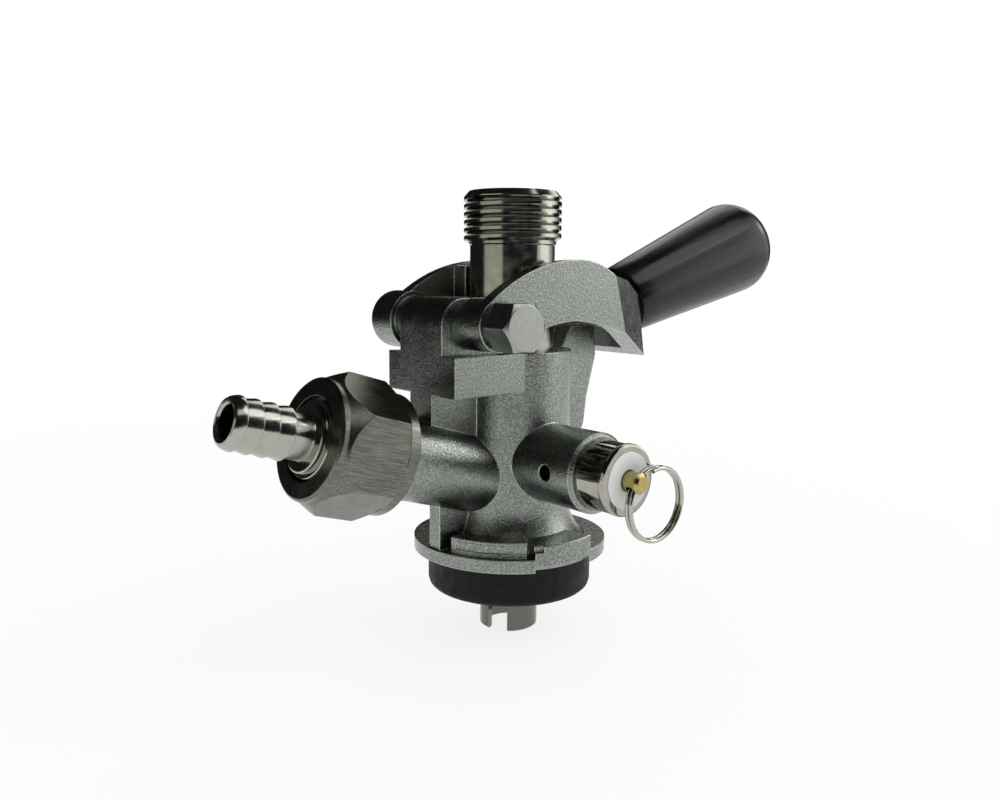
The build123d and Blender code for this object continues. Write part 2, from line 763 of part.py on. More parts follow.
def parts():
    """Every node's name with its solid or solids."""
    made = {
        "body_casting": body_casting(),
        "bottom_seal": bottom_seal(),
        "inlet_nut": union_nut(),
        "hose_tailpiece": hose_tail(),
        "tailpiece_gasket": tailpiece_gasket(),
        "inlet_duckbill": inlet_duckbill(),
        "relief_cap": relief_cap(),
        "relief_label": relief_label(),
        "relief_stem": relief_stem(),
        "relief_poppet_seal": relief_poppet_seal(),
        "relief_spring": relief_spring(),
        "relief_ring": relief_ring(),
        "lever_yoke": lever_yoke(),
        "hinge_bolt": hinge_bolt(),
        "handle_stud": handle_stud(),
        "handle_grip": handle_grip(),
        "probe_tube": probe_tube(),
        "probe_trunnions": Compound(probe_trunnions()),
        "probe_upper_oring": probe_oring(oring_tops[0]),
        "probe_lower_oring": probe_oring(oring_tops[1]),
        "probe_tip_seal": probe_tip_seal(),
        "check_ball": check_ball(),
        "ball_retainer": ball_retainer(),
    }
    return made


os.makedirs("parts", exist_ok=True)
for name, shape in parts().items():
    export_step(shape, f"parts/{name}.step")
    print(name, round(shape.volume, 1))
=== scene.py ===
from math import atan2, cos, degrees, pi, radians, sin

import bmesh
import bpy
from bpy.props import FloatProperty, FloatVectorProperty, IntProperty, PointerProperty
from mathutils import Matrix, Vector


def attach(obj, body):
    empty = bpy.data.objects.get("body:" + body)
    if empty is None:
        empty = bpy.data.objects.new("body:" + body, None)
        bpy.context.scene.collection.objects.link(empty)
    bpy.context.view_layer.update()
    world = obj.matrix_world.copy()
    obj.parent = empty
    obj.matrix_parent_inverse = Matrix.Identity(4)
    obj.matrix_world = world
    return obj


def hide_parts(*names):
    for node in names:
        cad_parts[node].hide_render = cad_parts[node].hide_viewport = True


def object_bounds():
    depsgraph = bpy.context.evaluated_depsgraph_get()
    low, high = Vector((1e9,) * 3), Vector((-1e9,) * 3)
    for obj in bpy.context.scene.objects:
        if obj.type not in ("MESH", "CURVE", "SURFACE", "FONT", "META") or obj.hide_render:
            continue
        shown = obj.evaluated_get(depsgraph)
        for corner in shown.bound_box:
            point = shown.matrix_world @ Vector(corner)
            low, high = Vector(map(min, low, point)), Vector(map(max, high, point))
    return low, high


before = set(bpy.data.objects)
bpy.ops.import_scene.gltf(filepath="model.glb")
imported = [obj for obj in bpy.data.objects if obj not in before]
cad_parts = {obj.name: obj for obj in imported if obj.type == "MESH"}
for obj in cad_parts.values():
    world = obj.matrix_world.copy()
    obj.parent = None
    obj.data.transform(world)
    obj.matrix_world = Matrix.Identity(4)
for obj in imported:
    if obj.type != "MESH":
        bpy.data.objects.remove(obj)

bl_info = {
    "name": "Keg Coupler",
    "version": (1, 0, 0),
    "blender": (4, 5, 0),
    "location": "View3D > Sidebar > Keg Coupler",
    "description": "Dresses the lever handle keg coupler and sets its stage",
    "category": "Object",
}

CAD_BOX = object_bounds()
MM = 0.001


# ---- Places, in millimetres and degrees as in the solids ----
INLET_Z = 16.0
INLET_TILT = radians(16.7)
RELIEF_Z = 22.8
HANDLE_FOOT = (28.0, 0, 56.0)
HANDLE_TILT = radians(17.6)


def place(origin, direction):
    """Matrix that stands a shape made on +Z at origin (mm), along direction."""
    turn = Vector(direction).to_track_quat("Z", "Y").to_matrix().to_4x4()
    return Matrix.Translation(Vector(origin) * MM) @ turn


INLET_WAY = Vector((-cos(INLET_TILT), 0, sin(INLET_TILT)))
INLET = place((0, 0, INLET_Z), INLET_WAY)
RELIEF = place((0, 0, RELIEF_Z), (0, -1, 0))
PROBE = place((0, 0, 0), (0, 0, 1))
HANDLE_WAY = Vector((cos(HANDLE_TILT), 0, sin(HANDLE_TILT)))
HANDLE = place(HANDLE_FOOT, HANDLE_WAY)


# ---- Helpers ----
def linear(code):
    """Linear colour of an sRGB hex code."""
    parts = [int(code[i:i + 2], 16) / 255 for i in (1, 3, 5)]
    return tuple(p / 12.92 if p <= 0.04045 else ((p + 0.055) / 1.055) ** 2.4 for p in parts) + (1.0,)


def add(tree, kind, links=None, **settings):
    """A node with its settings; links maps input names or numbers to sockets or values."""
    node = tree.nodes.new("ShaderNode" + kind)
    for key, value in settings.items():
        setattr(node, key, value)
    for key, value in (links or {}).items():
        socket = node.inputs[key]
        if isinstance(value, bpy.types.NodeSocket):
            tree.links.new(value, socket)
        else:
            socket.default_value = value
    return node


def finish_named(name):
    """A new material with an empty node tree, and that tree."""
    material = bpy.data.materials.new(name)
    material.use_nodes = True
    material.node_tree.nodes.clear()
    return material, material.node_tree


def lathe(profile, steps=96, closed=False):
    """Bmesh spun about Z from (radius, height) points in mm."""
    shape = bmesh.new()
    points = [shape.verts.new((r * MM, 0, z * MM)) for r, z in profile]
    for a, b in zip(points, points[1:]):
        shape.edges.new((a, b))
    if closed:
        shape.edges.new((points[-1], points[0]))
    bmesh.ops.spin(shape, geom=shape.verts[:] + shape.edges[:], cent=(0, 0, 0), axis=(0, 0, 1),
                   dvec=(0, 0, 0), angle=2 * pi, steps=steps, use_merge=True)
    bmesh.ops.remove_doubles(shape, verts=shape.verts[:], dist=1e-6)
    bmesh.ops.recalc_face_normals(shape, faces=shape.faces[:])
    return shape


def wind(shape, pitch, turns):
    """Winds a bmesh down a helix about Z; pitch in mm, negative turns go the other way round."""
    per_turn = 96
    bmesh.ops.spin(shape, geom=shape.verts[:] + shape.edges[:], cent=(0, 0, 0), axis=(0, 0, 1),
                   dvec=(0, 0, -pitch / per_turn * MM), angle=2 * pi * turns,
                   steps=int(per_turn * abs(turns)))


def round_edges(shape, width, limit):
    """Bevels every edge sharper than limit degrees by width mm."""
    sharp = [e for e in shape.edges if len(e.link_faces) == 2 and e.calc_face_angle(0) > radians(limit)]
    bmesh.ops.bevel(shape, geom=sharp, offset=width * MM, offset_type="OFFSET", segments=2,
                    profile=0.5, affect="EDGES", clamp_overlap=True, material=-1)


def piece(name, shape, matrix, material, body, slot, *nodes, smooth=38):
    """Object from a bmesh put in place, riding on a body and standing for CAD nodes."""
    bmesh.ops.transform(shape, matrix=matrix, verts=shape.verts[:])
    bmesh.ops.recalc_face_normals(shape, faces=shape.faces[:])
    mesh = bpy.data.meshes.new(name)
    shape.to_mesh(mesh)
    shape.free()
    mesh.shade_smooth()
    mesh.set_sharp_from_angle(angle=radians(smooth))
    obj = bpy.data.objects.new(name, mesh)
    bpy.context.scene.collection.objects.link(obj)
    mesh.materials.append(material)
    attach(obj, body)
    if nodes:
        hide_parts(*nodes)


def dress(name, material):
    """Gives a CAD node its material."""
    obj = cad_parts[name]
    for slot in obj.material_slots:
        slot.material = material
    if not obj.material_slots:
        obj.data.materials.append(material)


# ---- Finishes ----
def in_millimetres(tree, stretch=(1, 1, 1), turn=(0, 0, 0)):
    """Object coordinates in millimetres, stretched and turned."""
    coords = add(tree, "TexCoord").outputs["Object"]
    turned = add(tree, "Mapping", {"Vector": coords, "Rotation": turn}, vector_type="TEXTURE").outputs[0]
    return add(tree, "Mapping", {"Vector": turned, "Scale": tuple(s / MM for s in stretch)}).outputs[0]


def turn_to(way):
    """Rotation that brings +Z along way."""
    return tuple(Vector(way).to_track_quat("Z", "Y").to_euler())


def cast_stainless():
    """Investment-cast stainless steel, blasted: grey, fine pebbled grain, edges given a painted highlight."""
    look = bpy.context.scene.coupler_finish
    material, tree = finish_named("cast_stainless_blasted")
    where = in_millimetres(tree)
    grain = add(tree, "TexNoise", {"Vector": where, "Scale": 1 / look.cast_grain, "Detail": 3.0,
                                   "Roughness": 0.6})
    pores = add(tree, "TexNoise", {"Vector": where, "Scale": 0.28, "Detail": 4.0, "Roughness": 0.6})
    broad = add(tree, "TexNoise", {"Vector": where, "Scale": 0.05, "Detail": 2.0})
    specks = add(tree, "MapRange", {"Value": grain.outputs["Fac"], "From Min": 0.44, "From Max": 0.6})
    tone = add(tree, "Mix", {"Factor": broad.outputs["Fac"], "A": linear("#6f746f"),
                             "B": linear("#868b85")}, data_type="RGBA")
    tone = add(tree, "Mix", {"Factor": specks.outputs[0], "A": tone.outputs["Result"],
                             "B": linear("#9ea29c")}, data_type="RGBA")
    rough = add(tree, "MapRange", {"Value": pores.outputs["Fac"], "From Min": 0.3, "From Max": 0.7,
                                   "To Min": look.cast_roughness - 0.06,
                                   "To Max": look.cast_roughness + 0.08})
    edge = add(tree, "Bevel", {"Radius": 0.45 * MM}, samples=6)
    # Painted highlight: edges, concave ones too, are made brighter in colour.
    face = add(tree, "NewGeometry").outputs["Normal"]
    along = add(tree, "VectorMath", {0: edge.outputs[0], 1: face}, operation="DOT_PRODUCT")
    painted_edge_highlight = add(tree, "MapRange", {"Value": along.outputs["Value"], "From Min": 0.99, "From Max": 0.9,
                                    "To Min": 0.0, "To Max": 0.6})
    tone = add(tree, "Mix", {"Factor": painted_edge_highlight.outputs[0], "A": tone.outputs["Result"],
                             "B": linear("#e2e4e0")}, data_type="RGBA")
    lumps = add(tree, "Bump", {"Height": pores.outputs["Fac"], "Strength": 0.15, "Distance": 0.3 * MM,
                               "Normal": edge.outputs[0]})
    bump = add(tree, "Bump", {"Height": grain.outputs["Fac"], "Strength": 0.7, "Distance": 0.15 * MM,
                              "Normal": lumps.outputs[0]})
    shader = add(tree, "BsdfPrincipled", {"Base Color": tone.outputs["Result"], "Metallic": 1.0,
                                          "Roughness": rough.outputs[0], "Normal": bump.outputs[0]})
    add(tree, "OutputMaterial", {"Surface": shader.outputs[0]})
    return material


def turned_stainless(name, way, colour, roughness):
    """Stainless steel turned on a lathe and polished: fine rings round the axis under a gloss."""
    material, tree = finish_named(name)
    # Tool marks 0.12 mm apart, drawn about twice as coarse to show.
    where = in_millimetres(tree, (0.15, 0.15, 4.0), turn_to(way))
    rings = add(tree, "TexNoise", {"Vector": where, "Scale": 1.0, "Detail": 2.0})
    stains = add(tree, "TexNoise", {"Vector": in_millimetres(tree), "Scale": 0.35, "Detail": 3.0})
    tone = add(tree, "Mix", {"Factor": stains.outputs["Fac"], "A": linear(colour),
                             "B": linear("#b9b8b0")}, data_type="RGBA")
    # Painted shade: the end that goes into the keg is darker towards the bottom.
    height = add(tree, "SeparateXYZ", {0: in_millimetres(tree)}).outputs["Z"]
    painted_tip_shade = add(tree, "MapRange", {"Value": height, "From Min": -3.0, "From Max": 1.0, "To Min": 0.85,
                                  "To Max": 0.0})
    tone = add(tree, "Mix", {"Factor": painted_tip_shade.outputs[0], "A": tone.outputs["Result"],
                             "B": linear("#5c5c57")}, data_type="RGBA")
    rough = add(tree, "MapRange", {"Value": stains.outputs["Fac"], "From Min": 0.3, "From Max": 0.7,
                                   "To Min": roughness - 0.04, "To Max": roughness + 0.06})
    bump = add(tree, "Bump", {"Height": rings.outputs["Fac"], "Strength": 0.18, "Distance": 0.03 * MM})
    shader = add(tree, "BsdfPrincipled", {"Base Color": tone.outputs["Result"], "Metallic": 1.0,
                                          "Roughness": rough.outputs[0], "Normal": bump.outputs[0]})
    add(tree, "OutputMaterial", {"Surface": shader.outputs[0]})
    return material


def brushed_nut_steel():
    """Machined stainless hexagon bar: lines brushed along the flats, edges slightly rounded."""
    material, tree = finish_named("brushed_hexagon_steel")
    turn = turn_to(INLET_WAY)
    across = in_millimetres(tree, (5.0, 5.0, 0.25), turn)
    lines = add(tree, "TexNoise", {"Vector": across, "Scale": 1.0, "Detail": 4.0, "Roughness": 0.7})
    along = in_millimetres(tree, (1, 1, 1), turn)
    stains = add(tree, "TexNoise", {"Vector": along, "Scale": 0.2, "Detail": 3.0})
    streaks = add(tree, "MapRange", {"Value": lines.outputs["Fac"], "From Min": 0.36, "From Max": 0.64})
    tone = add(tree, "Mix", {"Factor": streaks.outputs[0], "A": linear("#575952"),
                             "B": linear("#87887f")}, data_type="RGBA")
    rough = add(tree, "MapRange", {"Value": stains.outputs["Fac"], "From Min": 0.3, "From Max": 0.7,
                                   "To Min": 0.24, "To Max": 0.34})
    edge = add(tree, "Bevel", {"Radius": 0.3 * MM}, samples=6)
    bump = add(tree, "Bump", {"Height": lines.outputs["Fac"], "Strength": 0.35, "Distance": 0.05 * MM,
                              "Normal": edge.outputs[0]})
    shader = add(tree, "BsdfPrincipled", {"Base Color": tone.outputs["Result"], "Metallic": 1.0,
                                          "Roughness": rough.outputs[0], "Normal": bump.outputs[0]})
    add(tree, "OutputMaterial", {"Surface": shader.outputs[0]})
    return material


def bolt_steel():
    """Machined steel bar, lightly worn: dull flats and a smooth end face."""
    material, tree = finish_named("machined_bolt_steel")
    where = in_millimetres(tree)
    wear = add(tree, "TexNoise", {"Vector": where, "Scale": 0.9, "Detail": 5.0, "Roughness": 0.65})
    tone = add(tree, "Mix", {"Factor": wear.outputs["Fac"], "A": linear("#8b8e89"), "B": linear("#b4b7b2")},
               data_type="RGBA")
    rough = add(tree, "MapRange", {"Value": wear.outputs["Fac"], "From Min": 0.3, "From Max": 0.7,
                                   "To Min": 0.24, "To Max": 0.38})
    edge = add(tree, "Bevel", {"Radius": 0.25 * MM}, samples=6)
    bump = add(tree, "Bump", {"Height": wear.outputs["Fac"], "Strength": 0.3, "Distance": 0.06 * MM,
                              "Normal": edge.outputs[0]})
    shader = add(tree, "BsdfPrincipled", {"Base Color": tone.outputs["Result"], "Metallic": 1.0,
                                          "Roughness": rough.outputs[0], "Normal": bump.outputs[0]})
    add(tree, "OutputMaterial", {"Surface": shader.outputs[0]})
    return material


def plated(name, colour, roughness):
    """Polished nickel or chrome plating: a mirror with faint haze."""
    material, tree = finish_named(name)
    haze = add(tree, "TexNoise", {"Vector": in_millimetres(tree), "Scale": 0.5, "Detail": 4.0})
    rough = add(tree, "MapRange", {"Value": haze.outputs["Fac"], "From Min": 0.3, "From Max": 0.7,
                                   "To Min": roughness * 0.7, "To Max": roughness * 1.5})
    tone = add(tree, "Mix", {"Factor": haze.outputs["Fac"], "A": linear(colour), "B": linear("#b4b2a9")},
               data_type="RGBA")
    shader = add(tree, "BsdfPrincipled", {"Base Color": tone.outputs["Result"], "Metallic": 1.0,
                                          "Roughness": rough.outputs[0]})
    add(tree, "OutputMaterial", {"Surface": shader.outputs[0]})
    return material


def turned_brass():
    """Turned brass rod, slightly tarnished."""
    material, tree = finish_named("turned_brass")
    where = in_millimetres(tree, (0.3, 6.0, 0.3))
    rings = add(tree, "TexNoise", {"Vector": where, "Scale": 1.0, "Detail": 3.0})
    tarnish = add(tree, "TexNoise", {"Vector": in_millimetres(tree), "Scale": 0.8, "Detail": 4.0})
    tone = add(tree, "Mix", {"Factor": tarnish.outputs["Fac"], "A": linear("#978852"),
                             "B": linear("#cbbb7c")}, data_type="RGBA")
    bump = add(tree, "Bump", {"Height": rings.outputs["Fac"], "Strength": 0.3, "Distance": 0.04 * MM})
    shader = add(tree, "BsdfPrincipled", {"Base Color": tone.outputs["Result"], "Metallic": 1.0,
                                          "Roughness": 0.24, "Normal": bump.outputs[0]})
    add(tree, "OutputMaterial", {"Surface": shader.outputs[0]})
    return material


def label_vinyl():
    """Vinyl disc left plain: white with a soft sheen and a faint grain."""
    material, tree = finish_named("plain_white_vinyl")
    grain = add(tree, "TexNoise", {"Vector": in_millimetres(tree), "Scale": 1.2, "Detail": 4.0})
    tone = add(tree, "Mix", {"Factor": grain.outputs["Fac"], "A": linear("#d2d6d6"), "B": linear("#e6e8e7")},
               data_type="RGBA")
    bump = add(tree, "Bump", {"Height": grain.outputs["Fac"], "Strength": 0.1, "Distance": 0.03 * MM})
    shader = add(tree, "BsdfPrincipled", {"Base Color": tone.outputs["Result"], "Roughness": 0.42, "IOR": 1.5,
                                          "Normal": bump.outputs[0]})
    add(tree, "OutputMaterial", {"Surface": shader.outputs[0]})
    return material


def nitrile_rubber():
    """Moulded nitrile rubber: matte black, dusted a little grey."""
    material, tree = finish_named("moulded_nitrile_rubber")
    dust = add(tree, "TexNoise", {"Vector": in_millimetres(tree), "Scale": 0.45, "Detail": 6.0,
                                  "Roughness": 0.65})
    tone = add(tree, "Mix", {"Factor": dust.outputs["Fac"], "A": linear("#030304"), "B": linear("#09090a")},
               data_type="RGBA")
    rough = add(tree, "MapRange", {"Value": dust.outputs["Fac"], "From Min": 0.3, "From Max": 0.7,
                                   "To Min": 0.5, "To Max": 0.72})
    bump = add(tree, "Bump", {"Height": dust.outputs["Fac"], "Strength": 0.15, "Distance": 0.08 * MM})
    shader = add(tree, "BsdfPrincipled", {"Base Color": tone.outputs["Result"], "Roughness": rough.outputs[0],
                                          "IOR": 1.33, "Normal": bump.outputs[0]})
    add(tree, "OutputMaterial", {"Surface": shader.outputs[0]})
    return material


def handle_phenolic():
    """Moulded black phenolic: deep gloss with faint lengthwise polishing haze."""
    material, tree = finish_named("moulded_black_phenolic")
    where = in_millimetres(tree, (0.5, 0.5, 0.04), turn_to(HANDLE_WAY))
    streaks = add(tree, "TexNoise", {"Vector": where, "Scale": 1.0, "Detail": 4.0})
    marks = add(tree, "TexNoise", {"Vector": in_millimetres(tree), "Scale": 0.8, "Detail": 5.0})
    rough = add(tree, "MapRange", {"Value": streaks.outputs["Fac"], "From Min": 0.35, "From Max": 0.65,
                                   "To Min": 0.2, "To Max": 0.34})
    bump = add(tree, "Bump", {"Height": marks.outputs["Fac"], "Strength": 0.05, "Distance": 0.1 * MM})
    tone = add(tree, "Mix", {"Factor": streaks.outputs["Fac"], "A": linear("#050608"),
                             "B": linear("#0b0d0f")}, data_type="RGBA")
    shader = add(tree, "BsdfPrincipled", {"Base Color": tone.outputs["Result"], "Roughness": rough.outputs[0],
                                          "IOR": 1.42, "Normal": bump.outputs[0]})
    add(tree, "OutputMaterial", {"Surface": shader.outputs[0]})
    return material


def acetal(name, low, high):
    """Moulded acetal: milky white with a soft gloss."""
    material, tree = finish_named(name)
    cloud = add(tree, "TexNoise", {"Vector": in_millimetres(tree), "Scale": 0.4, "Detail": 3.0})
    tone = add(tree, "Mix", {"Factor": cloud.outputs["Fac"], "A": linear(low), "B": linear(high)},
               data_type="RGBA")
    shader = add(tree, "BsdfPrincipled", {"Base Color": tone.outputs["Result"], "Roughness": 0.35,
                                          "IOR": 1.48})
    add(tree, "OutputMaterial", {"Surface": shader.outputs[0]})
    return material


# ---- Sizes and colours a user may change ----
class CouplerSizes(bpy.types.PropertyGroup):
    barb_count: IntProperty(name="Barbs", description="Ridges on the hose tail", default=4, min=1, max=8)
    barb_pitch: FloatProperty(name="Barb pitch", description="Distance between ridges, mm", default=3.43,
                              min=1.0)
    barb_crest: FloatProperty(name="Barb crest", description="Radius over a ridge, mm", default=5.58, min=2.0)
    thread_pitch: FloatProperty(name="Thread pitch", description="Pitch of the beer outlet, mm",
                                default=1.814)
    thread_crest: FloatProperty(name="Thread crest", description="Radius over the thread, mm", default=11.45)
    ring_radius: FloatProperty(name="Ring radius", description="Middle radius of the pull ring, mm",
                               default=7.95)
    ring_wire: FloatProperty(name="Ring wire", description="Radius of the ring's wire, mm", default=0.5)


class CouplerFinish(bpy.types.PropertyGroup):
    cast_grain: FloatProperty(name="Casting grain", description="Size of the cast grain, mm", default=0.45,
                              min=0.05)
    cast_roughness: FloatProperty(name="Casting roughness", description="Roughness of the casting",
                                  default=0.24, min=0.0, max=1.0, subtype="FACTOR")
    backdrop: FloatVectorProperty(name="Backdrop", description="Colour of the floor and backdrop",
                                  subtype="COLOR", size=3, default=(0.86, 0.86, 0.86), min=0.0, max=1.0)


# ---- Pieces ----
class MakeCasting(bpy.types.Operator):
    """Finishes the cast body"""
    bl_idname = "coupler.casting"
    bl_label = "Cast body"

    def execute(self, context):
        steel = cast_stainless()
        dress("body_casting", steel)
        dress("lever_yoke", steel)
        return {"FINISHED"}


class MakeSeal(bpy.types.Operator):
    """Makes the rubber seal under the flange"""
    bl_idname = "coupler.seal"
    bl_label = "Bottom seal"

    def execute(self, context):
        bore, step_r, outer, rim = 9.3, 13.02, 19.8, 20.38
        bottom, step, seat, top = -9.4, -5.05, -0.02, 0.58
        foot = [(outer - 1.9, bottom), (outer - 0.9, bottom + 0.3), (outer - 0.3, bottom + 0.9),
                (outer, bottom + 1.9)]
        shape = lathe([(bore, step), (bore, bottom)] + foot + [
            (outer, seat), (rim, seat), (rim, top), (step_r, top), (step_r, step)], 128, closed=True)
        round_edges(shape, 0.25, 40)
        piece("bottom_seal_ring", shape, PROBE, nitrile_rubber(), "body", "black_rubber", "bottom_seal")
        return {"FINISHED"}


class MakeProbe(bpy.types.Operator):
    """Makes the probe with its screw thread"""
    bl_idname = "coupler.probe"
    bl_label = "Probe"

    def execute(self, context):
        sizes = context.scene.coupler_sizes
        steel = turned_stainless("turned_stainless_probe", (0, 0, 1), "#8e8e86", 0.15)
        bore, tube, stem, root = 5.5, 9.97, 7.04, 10.25
        top, thread_end, tip = 84.7, 72.6, -13.0
        outlet = [(bore, top - 0.3), (bore + 0.3, top), (9.6, top), (root, top - 0.5), (root, thread_end),
                  (tube, thread_end - 0.3)]
        groove = [(tube, 59.4), (9.6, 59.2), (9.25, 58.9), (9.2, 57.2), (tube, 56.8)]
        shaft = [(tube, 34.0), (stem, 32.5), (stem, 0.0), (6.3, 0.0), (6.3, -4.0), (stem, -4.0)]
        shape = lathe(outlet + groove + shaft + [(stem, tip), (bore, tip), (bore, top - 0.3)], 128)
        piece("probe_outlet_tube", shape, PROBE, steel, "probe", "turned_steel")
        turns = 5.4
        first = 84.0
        pitch = sizes.thread_pitch
        crest = sizes.thread_crest
        thread = bmesh.new()
        tooth = [(10.3, 0.0), (10.4, -0.12), (crest - 0.16, -0.44), (crest, -0.56), (crest, -1.26),
                 (crest - 0.16, -1.38), (10.4, -pitch + 0.12), (10.3, -pitch)]
        points = [thread.verts.new((r * MM, 0, (first + z) * MM)) for r, z in tooth]
        for a, b in zip(points, points[1:]):
            thread.edges.new((a, b))
        wind(thread, pitch, -turns)
        bmesh.ops.remove_doubles(thread, verts=thread.verts[:], dist=2e-6)
        for v in thread.verts:
            radius = v.co.xy.length / MM
            height = v.co.z / MM
            # The first turn runs out in the top's chamfer.
            limit = min(crest, root + max(0.0, top + 0.05 - height) * 1.15)
            if radius > limit:
                v.co.xy *= limit / radius
        piece("probe_outlet_thread", thread, PROBE, steel, "probe", "turned_steel", smooth=50)
        dress("probe_tube", steel)
        dress("probe_trunnions", steel)
        return {"FINISHED"}


class MakeInlet(bpy.types.Operator):
    """Makes the hose tail and finishes the gas nut"""
    bl_idname = "coupler.inlet"
    bl_label = "Gas inlet"

    def execute(self, context):
        sizes = context.scene.coupler_sizes
        steel = turned_stainless("turned_stainless_hose_tail", INLET_WAY, "#a09f96", 0.17)
        crest = sizes.barb_crest
        bore, neck, lip, collar = 3.5, 4.9, 9.35, 8.4
        back, lip_end, collar_end, barb_start, tip = 51.0, 53.55, 56.3, 62.3, 75.0
        profile = [(bore, back), (lip, back), (lip, lip_end), (collar, lip_end + 0.05), (collar, collar_end),
                   (collar - 0.2, collar_end + 0.2), (7.35, 56.6), (7.3, 57.5), (7.0, 57.7),
                   (neck + 0.1, 57.8), (neck, 58.2), (neck, barb_start - 0.3)]
        for i in range(sizes.barb_count):
            foot = barb_start + i * sizes.barb_pitch
            profile += [(crest - 0.12, foot), (crest, foot + 0.12), (crest, foot + 0.5)]
            if i < sizes.barb_count - 1:
                profile.append((neck + 0.08, foot + sizes.barb_pitch - 0.05))
        profile += [(5.45, tip - 1.4), (5.2, tip - 0.7), (4.8, tip - 0.2), (4.3, tip), (3.9, tip - 0.15),
                    (bore + 0.05, tip - 0.6), (bore, tip - 1.2)]
        shape = lathe(profile, 96, closed=True)
        piece("hose_tail_barbed", shape, INLET, steel, "body", "turned_steel", "hose_tailpiece", smooth=24)
        dress("inlet_nut", brushed_nut_steel())
        rubber = bpy.data.materials["moulded_nitrile_rubber"]
        dress("tailpiece_gasket", rubber)
        dress("inlet_duckbill", rubber)
        return {"FINISHED"}


class MakeReliefValve(bpy.types.Operator):
    """Makes the relief valve's cap and label and finishes its pin and spring"""
    bl_idname = "coupler.relief_valve"
    bl_label = "Relief valve"

    def execute(self, context):
        chrome = plated("polished_nickel_plating", "#96948a", 0.07)
        inside, shank, band, rim, hole = 5.2, 6.55, 7.7, 7.9, 2.33
        back, shoulder, front, roof = 24.2, 29.9, 38.2, 35.6
        edge = [(band, 36.75), (rim - 0.05, 36.85), (rim, 37.05), (rim, front - 0.5),
                (rim - 0.15, front - 0.18), (rim - 0.45, front - 0.02), (rim - 0.75, front)]
        cap = lathe([(inside, back), (shank, back), (shank, shoulder), (band, shoulder + 0.05)] + edge + [
            (hole, front), (hole, roof), (inside, roof)], 96, closed=True)
        piece("relief_valve_cap", cap, RELIEF, chrome, "body", "plated_cap", "relief_cap", smooth=30)
        cut, disc, top = 2.45, 6.2, front + 0.3
        label = lathe([(cut, front), (cut, top - 0.08), (cut + 0.1, top - 0.02), (disc - 0.2, top),
                       (disc - 0.02, top - 0.14), (disc, front)], 96, closed=True)
        piece("relief_valve_label", label, RELIEF, label_vinyl(), "body", "label_white", "relief_label")
        brass = turned_brass()
        dress("relief_stem", brass)
        dress("relief_poppet_seal", bpy.data.materials["moulded_nitrile_rubber"])
        dress("relief_spring", plated("spring_wire", "#a5a59f", 0.2))
        return {"FINISHED"}


class MakePullRing(bpy.types.Operator):
    """Makes the split pull ring"""
    bl_idname = "coupler.pull_ring"
    bl_label = "Pull ring"

    def execute(self, context):
        sizes = context.scene.coupler_sizes
        radius = sizes.ring_radius
        turns = 2.05
        pitch = 1.05
        # Turn and shift that put the ends beside the pin, with the strands in its hole even about the middle.
        start = radians(210)
        shift = 0.41
        hole_y = -40.4
        lean = radians(43)
        upright = Matrix.Translation((radius * MM, 0, 0)) @ Matrix.Rotation(pi / 2, 4, "X")
        shape = bmesh.new()
        bmesh.ops.create_circle(shape, segments=12, radius=sizes.ring_wire * MM, cap_ends=False,
                                matrix=upright)
        wind(shape, pitch, turns)
        bmesh.ops.holes_fill(shape, edges=[e for e in shape.edges if e.is_boundary])
        bmesh.ops.translate(shape, verts=shape.verts[:], vec=(0, 0, (pitch * turns / 2 + shift) * MM))
        bmesh.ops.rotate(shape, verts=shape.verts[:], cent=(0, 0, 0), matrix=Matrix.Rotation(start, 3, "Z"))
        centre = (radius * cos(lean), hole_y, RELIEF_Z - radius * sin(lean))
        axes = Matrix(((cos(lean), -sin(lean), 0), (0, 0, -1), (-sin(lean), -cos(lean), 0))).to_4x4()
        matrix = Matrix.Translation(Vector(centre) * MM) @ axes
        piece("split_pull_ring", shape, matrix, plated("polished_ring_wire", "#b5b4ac", 0.1), "pull_ring",
              "plated_ring", "relief_ring", smooth=60)
        return {"FINISHED"}


class MakeHinge(bpy.types.Operator):
    """Finishes the hinge bolt and the handle's stud"""
    bl_idname = "coupler.hinge"
    bl_label = "Hinge bolt"

    def execute(self, context):
        steel = bolt_steel()
        for name in ("hinge_bolt", "handle_stud"):
            dress(name, steel)
        return {"FINISHED"}


class MakeGrip(bpy.types.Operator):
    """Makes the handle's grip"""
    bl_idname = "coupler.grip"
    bl_label = "Handle grip"

    def execute(self, context):
        start, end = 9.25, 67.0
        root, free, dome = 9.0, 13.1, 9.0
        bore, bore_end = 4.05, 41.3
        profile = [(bore, start), (root - 0.8, start), (root - 0.2, start + 0.25), (root, start + 0.85)]
        for i in range(1, 9):
            t = i / 8
            profile.append((root + (free - root) * t, start + 0.85 + (end - dome - start - 0.85) * t))
        for i in range(1, 15):
            a = radians(90 * i / 15)
            profile.append((free * (0.2 + 0.8 * cos(a)), end - dome + dome * sin(a)))
        profile.append((0.0, end))
        shape = lathe(profile, 96)
        inside = lathe([(bore, start), (bore, bore_end), (0.0, bore_end)], 96)
        mesh = bpy.data.meshes.new("bore")
        inside.to_mesh(mesh)
        inside.free()
        shape.from_mesh(mesh)
        bpy.data.meshes.remove(mesh)
        bmesh.ops.remove_doubles(shape, verts=shape.verts[:], dist=1e-6)
        piece("tapered_handle_grip", shape, HANDLE, handle_phenolic(), "lever", "grip_black", "handle_grip")
        return {"FINISHED"}


